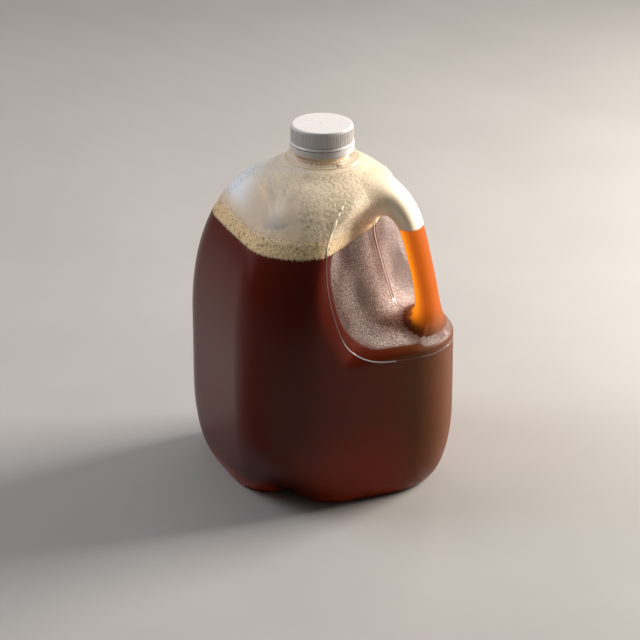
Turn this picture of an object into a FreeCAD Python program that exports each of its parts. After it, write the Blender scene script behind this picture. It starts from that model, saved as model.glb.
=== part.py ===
import FreeCAD, Part
import math
import os

# A one-gallon blow-moulded jug of iced tea with a head of foam, under a white tamper-evident screw cap.
# Millimetres. +Z is up, the origin is on the jug's axis at the surface it stands on, and the handle is
# on the +X side. The plan is a square with well-rounded corners, turned so that its corners point along
# X and Y. The mould parts on the XZ plane, so the jug is the same on both sides of it.

# ---- Wall and clearances ----
WALL = 1.0                 # plastic wall, body and handle
NECK_WALL = 1.6            # the neck is thicker, to take the cap
FILL_GAP = 0.3             # between the wall and what fills the jug
SEAT_GAP = 0.3             # between the neck's rim and the cap's ceiling

# ---- Neck, from which the cap and the top of the body follow ----
NECK_RADIUS = 19.8
BEAD_REACH = 3.9           # the bead stands out this far from the neck
FOOT_REACH = 1.9           # and the neck's foot this much further
BEAD_STEP = 0.7            # bevel where the foot and the bead step in
NECK_SINK = 6.0            # how far the neck's foot runs down into the shoulder
NECK_FOOT_RISE = 5.4       # from the crown to the top of the neck's foot
BEAD_HEIGHT = 3.6
LUG_ANGLE = -38.0          # degrees, one stop lug beside the bead and one opposite
LUG_LENGTH = 4.0
LUG_REACH = 1.2
BEAD_RADIUS = NECK_RADIUS + BEAD_REACH
NECK_FOOT_RADIUS = BEAD_RADIUS + FOOT_REACH

# ---- Body ----
HALF_FLATS = 80.0          # axis to the middle of a flat side
CORNER_RADIUS = 45.0       # rounding of the upright corners
FOOT_FLATS = 66.5          # the same two sizes where the jug meets the table
FOOT_RADIUS = 43.5
HEEL_HEIGHT = 56.0         # the rounding from the foot up to the upright wall
SHOULDER_Z = 106.0         # where the wall starts to lean in
SHOULDER_RISE = 119.0      # from there to the crown
SHOULDER_RISE_POWER = 2.25
SHOULDER_PULL_POWER = 1.9
COLLAR_OVERLAP = 0.6       # the body's opening lies this far inside the neck's foot
COLLAR_LIFT = 4.2          # the shoulder turns up this much to meet the neck
COLLAR_SPREAD = 6.8
CROWN_Z = SHOULDER_Z + SHOULDER_RISE
COLLAR_RADIUS = NECK_FOOT_RADIUS - COLLAR_OVERLAP
CORNER_REACH = math.sqrt(2) * (HALF_FLATS - CORNER_RADIUS) + CORNER_RADIUS   # axis to a corner

# ---- Underside ----
PUSH_UP_HEIGHT = 7.0       # hollow in the middle of the underside
PUSH_UP_RADIUS = 44.0
GROOVE_HEIGHT = 5.0        # groove across the underside, along Y, that also breaks the heel at both ends
GROOVE_HALF_WIDTH = 7.0
GROOVE_START = 60.0        # from here outwards the groove climbs
GROOVE_CLIMB = 0.95
GROOVE_BLEND = 2.0
GROOVE_TOP_Z = 42.0
FOOT_DIP = 0.23            # share by which the foot pulls in beside the groove
FOOT_DIP_ANGLE = 14.5      # degrees

# ---- Grip recess, a scoop out of the +X corner behind the handle ----
RECESS_DEPTH = 44.0        # from the corner in to the recess wall on the parting plane
RECESS_DEPTH_RISE = 34.5   # at this height over the shoulder
RECESS_LEAN = 0.31         # how fast the wall leans in with height
RECESS_TOP_MARGIN = 10.5   # the lean ends this far out from the collar
LEDGE_DEPTH = 33.5         # from the corner in to a point of the ledge at the foot of the recess
LEDGE_RISE = 20.0          # at this height over the shoulder
LEDGE_SLOPE = 2.7          # mm outwards for each mm down
LEDGE_BLEND = 14.0
TOP_BLEND = 6.0
RECESS_CROWN = 0.08        # the wall falls back from the parting plane towards both edges
RECESS_DROP = 0.00445      # and the scoop gets lower towards both edges
RECESS_EDGE_BLEND = 8.5    # rounding of the edge between the body and the scoop
RECESS_FLOOR_DROP = 16.0   # nothing is scooped further than this below the shoulder
RECESS_MOST_ANGLE = 87.0   # degrees either side of +X, nor further round than this
ROOT_FLARE = 11.0          # the recess wall swells out where the handle springs from it
ROOT_FLARE_DROP = 17.0     # below the crown
ROOT_FLARE_WIDTH = 19.0
ROOT_FLARE_HEIGHT = 15.0
RECESS_TOP_X = COLLAR_RADIUS + RECESS_TOP_MARGIN

# ---- Handle, from its upper root to its lower one ----
# The middle line as shares of the way out (recess top to corner) and up (shoulder to crown), then
# half the thickness in the parting plane and half the width across it, in mm.
HANDLE_STATIONS = [
    (-0.076, 0.845, 14.0, 20.0),
    (0.068, 0.849, 13.0, 16.5),
    (0.220, 0.840, 11.3, 13.5),
    (0.356, 0.815, 9.2, 12.5),
    (0.466, 0.748, 7.7, 11.8),
    (0.534, 0.655, 7.5, 11.5),
    (0.593, 0.542, 7.4, 11.2),
    (0.649, 0.429, 7.2, 11.2),
    (0.693, 0.332, 7.3, 11.2),
    (0.714, 0.231, 8.1, 11.6),
    (0.729, 0.139, 9.9, 13.5),
    (0.737, 0.050, 13.0, 16.6),
    (0.720, -0.034, 15.6, 18.7),
]
HANDLE_SQUARENESS = 2.4    # 2 is an ellipse, more is boxier

# ---- Cap ----
CAP_LIFT = 1.8             # between the bead and the cap
CAP_HEIGHT = 18.2
CAP_CLEARANCE = 0.5        # between the neck and the inside of the cap
CAP_WALL = 1.1
CAP_TOP_THICKNESS = 1.8
CAP_EDGE_ROUND = 1.4
BAND_REACH = 0.6           # the tamper band stands out this far from the ribs
BAND_BEVEL = 0.3           # at the band's lower edge
BAND_SHOULDER = 0.6        # height of the band's lip above the slit
RIB_SEAT = 0.4             # height of the plain step below the ribs
RIB_COUNT = 84
RIB_DEPTH = 0.35
RIB_LAND = 0.4             # share of each rib's pitch that is flat between ribs
RIB_CREST = 0.7
RIB_HEIGHT = 9.4
RIB_DROP = 2.0             # from the top of the cap down to the ribs
SLIT_RISE = 4.5            # from the bottom of the cap up to the slit
SLIT_HEIGHT = 0.6
SLIT_DEPTH = 0.9
SLIT_BRIDGES = 12
BRIDGE_SHARE = 0.12        # share of each twelfth that stays joined
GATE_RADIUS = 0.8
GATE_HEIGHT = 0.4
PLUG_CLEARANCE = 0.6       # between the neck's bore and the ring that seals it
PLUG_WALL = 1.0
PLUG_DEPTH = 3.5
NECK_FOOT_Z = CROWN_Z + NECK_FOOT_RISE
BEAD_TOP_Z = NECK_FOOT_Z + BEAD_HEIGHT
CAP_BOTTOM_Z = BEAD_TOP_Z + CAP_LIFT
CAP_TOP_Z = CAP_BOTTOM_Z + CAP_HEIGHT
CAP_CEILING_Z = CAP_TOP_Z - CAP_TOP_THICKNESS
NECK_RIM_Z = CAP_CEILING_Z - SEAT_GAP
CAP_RADIUS = NECK_RADIUS + CAP_CLEARANCE + CAP_WALL
CAP_BAND_RADIUS = CAP_RADIUS + BAND_REACH
RIB_TOP_Z = CAP_TOP_Z - RIB_DROP
RIB_BOTTOM_Z = RIB_TOP_Z - RIB_HEIGHT
SLIT_BOTTOM_Z = CAP_BOTTOM_Z + SLIT_RISE

# ---- Contents ----
TEA_LEVEL_Z = 185.0
FOAM_DEPTH = 9.0
FOAM_GAP_X = -19.5         # a gap in the foam, where the tea shows
FOAM_GAP_DEPTH = 58.5      # from the -Y corner in to the middle of the gap
FOAM_GAP_HALF_X = 9.0
FOAM_GAP_HALF_Y = 14.0
FOAM_GAP_TURN = 20.0       # degrees

# ---- How finely the surfaces are laid out ----
BODY_SIDES = 56            # poles round the body
FOOT_RINGS = (0.06, 0.24, 0.42, 0.6, 0.76, 0.87, 0.95, 1.0)
HEEL_RINGS = 8
WALL_RINGS = 3
SHOULDER_RINGS = 24
HANDLE_SIDES = 16
HALVINGS = 40              # of the search for the scoop's wall


def soft_min(a, b, blend):
    """The smaller of two numbers, with a rounding where they are less than blend apart."""
    near = max(blend - abs(a - b), 0.0) / blend
    return min(a, b) - near * near * blend / 4


def soft_max(a, b, blend):
    return -soft_min(-a, -b, blend)


def rounded_square(angle, half_flats, corner_radius):
    """Distance from the axis to a rounded square with its corners on the X and Y axes."""
    off = abs(angle % (math.pi / 2) - math.pi / 4)
    inner = half_flats - corner_radius
    if math.tan(off) <= inner / half_flats:
        return half_flats / math.cos(off)
    across = math.sin(off) - math.cos(off)
    along = math.sin(off) + math.cos(off)
    return inner * along + math.sqrt(corner_radius ** 2 - (inner * across) ** 2)


def foot_dip(angle):
    """Share by which the foot pulls in, largest at +Y and -Y."""
    off = math.degrees(abs(math.pi / 2 - abs((angle + math.pi) % (2 * math.pi) - math.pi)))
    return FOOT_DIP * math.exp(-off ** 2 / (2 * FOOT_DIP_ANGLE ** 2))


def recess_profile(z):
    """x of the scoop in the parting plane: a leaning wall, a ledge at its foot, a straight top."""
    up = z - SHOULDER_Z
    wall = CORNER_REACH - RECESS_DEPTH - RECESS_LEAN * (up - RECESS_DEPTH_RISE)
    ledge = CORNER_REACH - LEDGE_DEPTH - LEDGE_SLOPE * (up - LEDGE_RISE)
    return soft_max(soft_max(wall, ledge, LEDGE_BLEND), RECESS_TOP_X, TOP_BLEND)


def root_flare(y, z):
    """Swelling of the recess wall round the handle's upper root."""
    below = CROWN_Z - ROOT_FLARE_DROP - z
    off = (y / ROOT_FLARE_WIDTH) ** 2 + (below / ROOT_FLARE_HEIGHT) ** 2
    return ROOT_FLARE * math.exp(-off)


def recess_distance(angle, z):
    """Distance from the axis to the scoop, found by halving: further out is past its wall."""
    near = 0.0
    far = 3 * HALF_FLATS
    for _ in range(HALVINGS):
        middle = (near + far) / 2
        x = middle * math.cos(angle)
        y = middle * abs(math.sin(angle))
        wall_x = recess_profile(z + RECESS_DROP * y * y) - RECESS_CROWN * y + root_flare(y, z)
        if x > wall_x:
            far = middle
        else:
            near = middle
    return near


def groove_height(x, y):
    """Height of the groove's roof over a point of the underside."""
    ridge = GROOVE_HEIGHT + GROOVE_CLIMB * max(abs(y) - GROOVE_START, 0.0)
    return ridge * (1 - (x / GROOVE_HALF_WIDTH) ** 2)


def underside_height(rho):
    if rho >= PUSH_UP_RADIUS:
        return 0.0
    return PUSH_UP_HEIGHT * (0.5 + 0.5 * math.cos(math.pi * rho / PUSH_UP_RADIUS))


def body_ring(distance, height):
    """One ring of poles; distance and height are functions of the angle and of the distance."""
    ring = []
    for i in range(BODY_SIDES):
        angle = 2 * math.pi * i / BODY_SIDES
        rho = distance(angle)
        z = height(rho)
        in_reach = math.cos(angle) > math.cos(math.radians(RECESS_MOST_ANGLE))
        if in_reach and z > SHOULDER_Z - RECESS_FLOOR_DROP:
            rho = soft_min(rho, recess_distance(angle, z), RECESS_EDGE_BLEND)
        x = rho * math.cos(angle)
        y = rho * math.sin(angle)
        if z < GROOVE_TOP_Z:
            z = soft_max(z, groove_height(x, y), GROOVE_BLEND)
        ring.append(FreeCAD.Vector(x, y, z))
    return ring


def body_rings():
    """Rings from the middle of the underside up to the opening under the neck."""
    rings = []
    for share in FOOT_RINGS:
        def foot(angle):
            return rounded_square(angle, FOOT_FLATS, FOOT_RADIUS) * (1 - foot_dip(angle)) * share
        rings.append(body_ring(foot, underside_height))
    for i in range(1, HEEL_RINGS + 1):
        turn = math.pi / 2 * i / HEEL_RINGS
        rise = HEEL_HEIGHT * (1 - math.cos(turn))
        flats = FOOT_FLATS + (HALF_FLATS - FOOT_FLATS) * math.sin(turn)
        corner = FOOT_RADIUS + (CORNER_RADIUS - FOOT_RADIUS) * math.sin(turn)
        left_over = 1 - math.sin(turn)

        def heel(angle):
            return rounded_square(angle, flats, corner) * (1 - foot_dip(angle) * left_over)
        rings.append(body_ring(heel, lambda rho: rise))

    def wall(angle):
        return rounded_square(angle, HALF_FLATS, CORNER_RADIUS)
    for i in range(1, WALL_RINGS + 1):
        level = HEEL_HEIGHT + (SHOULDER_Z - HEEL_HEIGHT) * i / WALL_RINGS
        rings.append(body_ring(wall, lambda rho: level))
    for i in range(1, SHOULDER_RINGS + 1):
        turn = math.pi / 2 * i / SHOULDER_RINGS
        rise = SHOULDER_Z + SHOULDER_RISE * math.sin(turn) ** (2 / SHOULDER_RISE_POWER)
        spread = max(math.cos(turn), 0.0) ** (2 / SHOULDER_PULL_POWER)

        def shoulder(angle):
            return COLLAR_RADIUS + (wall(angle) - COLLAR_RADIUS) * spread

        def level(rho):
            return rise + COLLAR_LIFT * math.exp(-((rho - COLLAR_RADIUS) / COLLAR_SPREAD) ** 2)
        rings.append(body_ring(shoulder, level))
    return level_ends(rings)


def level_ends(rings):
    """Makes the first and the last ring flat, so that a flat face can close them."""
    for ring in (rings[0], rings[-1]):
        height = sum(point.z for point in ring) / len(ring)
        for point in ring:
            point.z = height
    return rings


def inset(rings, depth):
    """The same rings moved inwards by depth, square to the surface; the ends stay flat."""
    if depth == 0:
        return rings
    moved = []
    sides = len(rings[0])
    for j, ring in enumerate(rings):
        below = rings[max(j - 1, 0)]
        above = rings[min(j + 1, len(rings) - 1)]
        new_ring = []
        for i, point in enumerate(ring):
            round_way = ring[(i + 1) % sides] - ring[i - 1]
            up_way = above[i] - below[i]
            normal = round_way.cross(up_way)
            normal.normalize()
            new_ring.append(point - normal * depth)
        moved.append(new_ring)
    for point, inner in zip(rings[0], moved[0]):
        inner.x = point.x
        inner.y = point.y
        inner.z = point.z + depth
    return level_ends(moved)


def skin_solid(rings):
    """A solid from one smooth surface over the rings, closed by a flat face at each end."""
    sides = len(rings[0])
    count = len(rings)
    poles = [[rings[j][i] for j in range(count)] for i in range(sides)]
    surface = Part.BSplineSurface()
    surface.buildFromPolesMultsKnots(
        poles, [1] * (sides + 1), [4] + [1] * (count - 4) + [4],
        list(range(sides + 1)), list(range(count - 2)), True, False, 3, 3)
    side = surface.toShape()
    faces = [side]
    for edge in side.Edges:
        if is_flat_end(edge):
            faces.append(Part.Face(Part.Wire([edge])))
    shell = Part.makeShell(faces)
    shell.sewShape()
    solid = Part.Solid(shell)
    if solid.Volume < 0:
        solid.reverse()
    return solid


def is_flat_end(edge):
    """True for a closed edge that lies in a plane, as the first and last rings do."""
    return edge.isClosed() and edge.findPlane() is not None


def handle_line():
    """The handle's middle line in the parting plane, as (x, z) points."""
    span = CORNER_REACH - RECESS_TOP_X
    return [(RECESS_TOP_X + out * span, SHOULDER_Z + up * SHOULDER_RISE)
            for out, up, thick, wide in HANDLE_STATIONS]


def handle_rings(depth):
    """Rings square to the handle's middle line, each a boxy ellipse."""
    rings = []
    line = handle_line()
    last = len(line) - 1
    for j, (x, z) in enumerate(line):
        thick, wide = HANDLE_STATIONS[j][2:]
        before = line[max(j - 1, 0)]
        after = line[min(j + 1, last)]
        run = math.hypot(after[0] - before[0], after[1] - before[1])
        out_x = -(after[1] - before[1]) / run
        out_z = (after[0] - before[0]) / run
        ring = []
        for i in range(HANDLE_SIDES):
            angle = 2 * math.pi * i / HANDLE_SIDES
            power = 2 / HANDLE_SQUARENESS
            across = math.copysign(abs(math.cos(angle)) ** power, math.cos(angle)) * (thick - depth)
            sideways = math.copysign(abs(math.sin(angle)) ** power, math.sin(angle)) * (wide - depth)
            ring.append(FreeCAD.Vector(x + out_x * across, sideways, z + out_z * across))
        rings.append(ring)
    return rings


def revolve(profile, turn=360):
    """A solid of revolution about Z from (radius, z) corners."""
    points = [FreeCAD.Vector(radius, 0, z) for radius, z in profile]
    face = Part.Face(Part.makePolygon(points + points[:1]))
    return face.revolve(FreeCAD.Vector(0, 0, 0), FreeCAD.Vector(0, 0, 1), turn)


def tube(outer, inner, bottom, top):
    return revolve([(inner, bottom), (outer, bottom), (outer, top), (inner, top)])


def fused(*solids):
    result = solids[0].multiFuse(list(solids[1:]))
    return result.removeSplitter()


def neck_outside():
    root_z = CROWN_Z - NECK_SINK
    step = BEAD_STEP
    neck = revolve([
        (0, root_z),
        (NECK_FOOT_RADIUS, root_z),
        (NECK_FOOT_RADIUS, NECK_FOOT_Z - step),
        (NECK_FOOT_RADIUS - step, NECK_FOOT_Z),
        (BEAD_RADIUS, NECK_FOOT_Z),
        (BEAD_RADIUS, BEAD_TOP_Z - step),
        (BEAD_RADIUS - step, BEAD_TOP_Z),
        (NECK_RADIUS, BEAD_TOP_Z),
        (NECK_RADIUS, NECK_RIM_Z),
        (0, NECK_RIM_Z),
    ])
    lugs = []
    for angle in (LUG_ANGLE, LUG_ANGLE + 180):
        lug = Part.makeBox(2 * LUG_REACH, LUG_LENGTH, BEAD_TOP_Z - NECK_FOOT_Z,
                           FreeCAD.Vector(BEAD_RADIUS - LUG_REACH, -LUG_LENGTH / 2, NECK_FOOT_Z))
        lug.rotate(FreeCAD.Vector(0, 0, 0), FreeCAD.Vector(0, 0, 1), angle)
        lugs.append(lug)
    return fused(neck, *lugs)


def body_inside(depth):
    return skin_solid(inset(body_rings(), depth))


def make_jug():
    """Body, handle and neck in one, less what they enclose, so the handle is open to the body."""
    outside = fused(skin_solid(body_rings()), skin_solid(handle_rings(0)), neck_outside())
    bore_start = CROWN_Z - 2 * NECK_SINK
    bore = Part.makeCylinder(NECK_RADIUS - NECK_WALL, NECK_RIM_Z - bore_start,
                             FreeCAD.Vector(0, 0, bore_start))
    return outside.cut(fused(body_inside(WALL), skin_solid(handle_rings(WALL)), bore))


def slab(bottom, top):
    reach = 4 * HALF_FLATS
    return Part.makeBox(reach, reach, top - bottom, FreeCAD.Vector(-reach / 2, -reach / 2, bottom))


def make_tea():
    inside = fused(body_inside(WALL + FILL_GAP), skin_solid(handle_rings(WALL + FILL_GAP)))
    return inside.common(slab(0, TEA_LEVEL_Z))


def make_foam():
    """The head of foam on the tea in the body; the narrow handle has none."""
    layer = body_inside(WALL + FILL_GAP).common(slab(TEA_LEVEL_Z, TEA_LEVEL_Z + FOAM_DEPTH))
    gap = Part.makeCylinder(1, 3 * FOAM_DEPTH)
    stretch = FreeCAD.Matrix()
    stretch.scale(FOAM_GAP_HALF_X, FOAM_GAP_HALF_Y, 1)
    gap = gap.transformGeometry(stretch)
    gap.rotate(FreeCAD.Vector(0, 0, 0), FreeCAD.Vector(0, 0, 1), FOAM_GAP_TURN)
    gap.translate(FreeCAD.Vector(FOAM_GAP_X, FOAM_GAP_DEPTH - CORNER_REACH, TEA_LEVEL_Z - FOAM_DEPTH))
    return layer.cut(gap)


def ribbed_ring():
    """The gripping zone of the cap: a toothed outline drawn round and pulled up."""
    points = []
    for i in range(RIB_COUNT):
        for share, height in ((0.0, 0.0), (RIB_LAND, 0.0), (RIB_CREST, RIB_DEPTH)):
            angle = 2 * math.pi * (i + share) / RIB_COUNT
            reach = CAP_RADIUS - RIB_DEPTH + height
            points.append(FreeCAD.Vector(reach * math.cos(angle), reach * math.sin(angle), RIB_BOTTOM_Z))
    outline = Part.Face(Part.makePolygon(points + points[:1]))
    return outline.extrude(FreeCAD.Vector(0, 0, RIB_TOP_Z - RIB_BOTTOM_Z))


def make_cap():
    core = CAP_RADIUS - RIB_DEPTH
    shell = revolve([
        (0, CAP_BOTTOM_Z),
        (CAP_BAND_RADIUS - BAND_BEVEL, CAP_BOTTOM_Z),
        (CAP_BAND_RADIUS, CAP_BOTTOM_Z + BAND_BEVEL),
        (CAP_BAND_RADIUS, SLIT_BOTTOM_Z + SLIT_HEIGHT + BAND_SHOULDER),
        (CAP_RADIUS, RIB_BOTTOM_Z - RIB_SEAT),
        (CAP_RADIUS, RIB_BOTTOM_Z),
        (core, RIB_BOTTOM_Z),
        (core, CAP_TOP_Z),
        (0, CAP_TOP_Z),
    ])
    rim = [edge for edge in shell.Edges if edge.BoundBox.ZMin > RIB_TOP_Z]
    shell = shell.makeFillet(CAP_EDGE_ROUND, rim)
    shell = fused(shell, ribbed_ring())
    hollow = Part.makeCylinder(NECK_RADIUS + CAP_CLEARANCE, CAP_CEILING_Z - CAP_BOTTOM_Z,
                               FreeCAD.Vector(0, 0, CAP_BOTTOM_Z))
    plug_radius = NECK_RADIUS - NECK_WALL - PLUG_CLEARANCE
    plug = tube(plug_radius, plug_radius - PLUG_WALL, CAP_CEILING_Z - PLUG_DEPTH,
                CAP_TOP_Z - CAP_EDGE_ROUND)
    gate = Part.makeCone(GATE_RADIUS, GATE_RADIUS / 2, GATE_HEIGHT, FreeCAD.Vector(0, 0, CAP_TOP_Z))
    cap = shell.cut(hollow)
    cap = cap.multiFuse([plug, gate])
    return cap.cut(Part.makeCompound(slit_cuts()))


def slit_cuts():
    """The slit above the tamper band, one arc for each twelfth, with a bridge left between them."""
    share = 360.0 / SLIT_BRIDGES
    inner = CAP_BAND_RADIUS - SLIT_DEPTH
    outer = CAP_BAND_RADIUS + SLIT_DEPTH
    top = SLIT_BOTTOM_Z + SLIT_HEIGHT
    section = [(inner, SLIT_BOTTOM_Z), (outer, SLIT_BOTTOM_Z), (outer, top), (inner, top)]
    cuts = []
    for i in range(SLIT_BRIDGES):
        cut = revolve(section, share * (1 - BRIDGE_SHARE))
        cut.rotate(FreeCAD.Vector(0, 0, 0), FreeCAD.Vector(0, 0, 1), share * i)
        cuts.append(cut)
    return cuts


def main():
    os.makedirs("parts", exist_ok=True)
    nodes = {"jug": make_jug(), "tea": make_tea(), "foam": make_foam(), "cap": make_cap()}
    for name, shape in nodes.items():
        shape.exportStep("parts/%s.step" % name)
        box = shape.BoundBox
        print("%s: %d solid(s), valid %s, %.1f cm3, x %.1f..%.1f y %.1f..%.1f z %.1f..%.1f" % (
            name, len(shape.Solids), shape.isValid(), shape.Volume / 1000,
            box.XMin, box.XMax, box.YMin, box.YMax, box.ZMin, box.ZMax))


main()
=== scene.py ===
# %% [markdown]
# A one-gallon jug of iced tea. The solid model gives every size and place, and this script gives the
# looks. The jug is thin milky plastic, so what one sees is mostly what is behind it: dark tea, a beige
# head of foam, and the pale empty shoulder above. Each of these is a piece of its own. Only the cap keeps
# its solid's shape.
#
# Lengths in the shapes are in millimetres, until a mesh is made. +X points to the handle and +Z up, and an
# angle round the jug starts at the handle.

# %% Load the frame
import math

import bpy
import numpy as np
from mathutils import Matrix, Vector
from mathutils.kdtree import KDTree


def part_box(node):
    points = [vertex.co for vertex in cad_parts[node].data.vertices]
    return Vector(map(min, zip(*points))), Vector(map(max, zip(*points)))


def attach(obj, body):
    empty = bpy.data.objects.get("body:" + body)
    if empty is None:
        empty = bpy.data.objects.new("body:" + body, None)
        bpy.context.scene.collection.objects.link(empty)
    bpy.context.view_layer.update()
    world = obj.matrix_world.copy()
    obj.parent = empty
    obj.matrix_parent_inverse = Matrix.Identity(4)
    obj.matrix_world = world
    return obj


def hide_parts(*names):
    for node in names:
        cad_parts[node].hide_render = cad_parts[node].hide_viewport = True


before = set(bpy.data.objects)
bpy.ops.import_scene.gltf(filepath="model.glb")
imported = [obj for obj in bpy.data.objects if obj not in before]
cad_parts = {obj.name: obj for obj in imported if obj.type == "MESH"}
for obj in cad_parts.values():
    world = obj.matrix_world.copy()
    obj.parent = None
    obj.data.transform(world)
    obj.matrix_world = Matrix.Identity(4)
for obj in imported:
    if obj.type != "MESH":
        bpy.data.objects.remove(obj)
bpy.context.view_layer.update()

MM = 0.001

# %% [markdown]
# The camera stands well back with a long lens, a little above the shoulder, because that is how such a jug
# looks on a table. It sees the handle at the right and the far side of the grip recess through the gap.

# %% Camera
VIEW_AZIMUTH = math.radians(22.0)
VIEW_ELEVATION = math.radians(24.2)
VIEW_DISTANCE = 1976 * MM
VIEW_LENS = 160.3          # mm, on a 36 mm sensor
AIM_HEIGHT = 130 * MM
AIM_RIGHT = -1.3 * MM      # the aim is moved a little, to frame the jug as it should be
AIM_UP = -20.1 * MM


def view_axes(azimuth, elevation):
    """Right, up and backwards unit vectors of a camera that looks along azimuth, tilted down."""
    right = Vector((math.cos(azimuth), math.sin(azimuth), 0))
    up = Vector((-math.sin(azimuth) * math.sin(elevation),
                 math.cos(azimuth) * math.sin(elevation), math.cos(elevation)))
    return right, up, right.cross(up)


def add_camera():
    """A long lens that looks at a point near the jug's middle."""
    right, up, back = view_axes(VIEW_AZIMUTH, VIEW_ELEVATION)
    data = bpy.data.cameras.new("camera")
    data.lens = VIEW_LENS
    data.sensor_width = 36
    camera = bpy.data.objects.new("camera", data)
    bpy.context.scene.collection.objects.link(camera)
    aim = Vector((0, 0, AIM_HEIGHT)) + right * AIM_RIGHT + up * AIM_UP
    camera.location = aim + back * VIEW_DISTANCE
    camera.rotation_euler = back.to_track_quat("Z", "Y").to_euler()
    bpy.context.scene.camera = camera
    return camera


camera = add_camera()
print("camera at", [round(v, 3) for v in camera.location])

# %% [markdown]
# Dark tea behind glossy plastic shows little of its own, so the jug is told by what it mirrors and by what
# shines through it. Four soft area lights do this, because the mirror image of a rectangle makes a pale
# band with a clean edge, as a window's does. A wide reddish one at the left draws the band down the left
# corner. A cool one above it whitens the shoulder. A small strong one behind at the right lights the
# handle, the arm of the shoulder and the right corner. One overhead and a dim world lift the shadows.

# %% Lights
def add_light(name, polar, distance, height, size, power, color, aim_height=0.12):
    """A rectangular soft light at a polar angle from +X, turned to the jug's middle."""
    angle = math.radians(polar)
    place = Vector((distance * math.cos(angle), distance * math.sin(angle), height))
    data = bpy.data.lights.new(name, "AREA")
    data.shape = "RECTANGLE"
    data.size, data.size_y = size
    data.energy = power
    data.color = color
    light = bpy.data.objects.new(name, data)
    bpy.context.scene.collection.objects.link(light)
    light.location = place
    light.rotation_euler = (place - Vector((0, 0, aim_height))).to_track_quat("Z", "Y").to_euler()
    return light


lights = [   # name, polar angle, distance and height in m, size in m, watts, colour
    add_light("window_left", 178, 1.5, 0.75, (1.5, 1.2), 6, (1.0, 0.62, 0.60)),
    add_light("sky_left", 195, 1.2, 1.5, (0.8, 0.8), 17, (0.82, 0.92, 1.0)),
    add_light("window_right", 46, 1.15, 0.62, (0.6, 0.6), 46, (1.0, 0.93, 0.86)),
    add_light("top_soft", 110, 0.7, 1.6, (1.0, 1.0), 6, (1.0, 0.98, 0.97)),
]


def add_world():
    """A dim, slightly warm surrounding, even on all sides."""
    world = bpy.data.worlds.new("studio")
    world.use_nodes = True
    background = world.node_tree.nodes["Background"]
    background.inputs["Color"].default_value = (1.0, 0.94, 0.91, 1)
    background.inputs["Strength"].default_value = 0.09
    bpy.context.scene.world = world


add_world()
bpy.context.scene.cycles.use_denoising = True
bpy.context.scene.view_settings.view_transform = "Standard"
print("lights", [(light.name, light.data.energy) for light in lights])

# %% [markdown]
# Every new piece is a grid of points worked out with numpy: rings that run round the piece, stacked along
# a profile. Helpers join the points with quads, close the two poles with fans of triangles, and make the
# mesh. Whole arrays are used, because a loop over a hundred thousand points would be slow. Numbers can be
# kept on the points, for the finish to read.

# %% Grids into meshes
def link_mesh(name, points, faces, **numbers):
    """A mesh object from points in mm, with named numbers kept on its points."""
    mesh = bpy.data.meshes.new(name)
    mesh.from_pydata((np.asarray(points) * MM).tolist(), [], faces)
    mesh.validate()
    mesh.shade_smooth()
    for key, values in numbers.items():
        layer = mesh.attributes.new(key, "FLOAT", "POINT")
        layer.data.foreach_set("value", np.asarray(values, np.float32).ravel())
    piece = bpy.data.objects.new(name, mesh)
    bpy.context.scene.collection.objects.link(piece)
    return piece


def ring_faces(rings, sides, start=0, closed=False):
    """Quads between neighbouring rings, as whole index arrays; closed joins the last ring to the first."""
    count = rings if closed else rings - 1
    j, i = np.meshgrid(np.arange(count), np.arange(sides), indexing="ij")
    above = (j + 1) % rings
    after = (i + 1) % sides
    quads = np.stack([j * sides + i, j * sides + after, above * sides + after, above * sides + i], -1)
    return (quads.reshape(-1, 4) + start).tolist()


def fan_faces(ring_start, sides, pole, upward):
    """Triangles from a ring to one pole point."""
    i = np.arange(sides) + ring_start
    after = (np.arange(sides) + 1) % sides + ring_start
    tip = np.full(sides, pole)
    order = [i, after, tip] if upward else [after, i, tip]
    return np.stack(order, -1).tolist()


def poled_grid(points):
    """Points (rings, sides, 3) as one list with a pole at each end, and the faces of the closed skin."""
    rings, sides = points.shape[:2]
    flat = points.reshape(-1, 3)
    low, high = points[0].mean(0), points[-1].mean(0)
    faces = ring_faces(rings, sides)
    faces += fan_faces(0, sides, len(flat), False)
    faces += fan_faces((rings - 1) * sides, sides, len(flat) + 1, True)
    return np.vstack([flat, low, high]), faces


def with_poles(values):
    """Numbers on a grid, with the two poles' own numbers added at the end."""
    return np.concatenate([values.ravel(), [values[0].mean(), values[-1].mean()]])


print("two rings of three points are joined by the quads", ring_faces(2, 3))


# %% [markdown]
# The body of a real jug is a bubble of hot plastic, blown out against a mould. It is a square with round
# corners, and the handle sits on one corner. Its size changes with height: a rounded heel, an upright
# wall, and a long shoulder that leans in to the neck. A scoop behind the handle makes room for the hand.
#
# It could be sculpted, or lofted through drawn sections. Here all of it is one formula for the distance
# from the axis at each angle and height, because then the scoop flows into the shoulder by a smooth
# minimum, and the tea and the foam can follow the same wall.

# %% The body's formula, in mm
HALF_FLATS, CORNER_RADIUS = 80.0, 45.0
FOOT_FLATS, FOOT_RADIUS = 66.5, 43.5
HEEL_HEIGHT = 56.0
SHOULDER_Z, SHOULDER_RISE = 106.0, 119.0
RISE_POWER, PULL_POWER = 2.25, 1.9
COLLAR_RADIUS, COLLAR_LIFT, COLLAR_SPREAD = 25.0, 4.2, 6.8
PUSH_UP_HEIGHT, PUSH_UP_RADIUS = 7.0, 44.0
GROOVE_HEIGHT, GROOVE_HALF_WIDTH = 4.6, 7.0
GROOVE_START, GROOVE_CLIMB, GROOVE_TOP, GROOVE_BLEND = 60.0, 0.6, 42.0, 3.0
FOOT_DIP, FOOT_DIP_ANGLE = 0.27, math.radians(14.5)
CORNER_REACH = math.sqrt(2) * (HALF_FLATS - CORNER_RADIUS) + CORNER_RADIUS   # axis to a corner
CROWN_Z = SHOULDER_Z + SHOULDER_RISE

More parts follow.
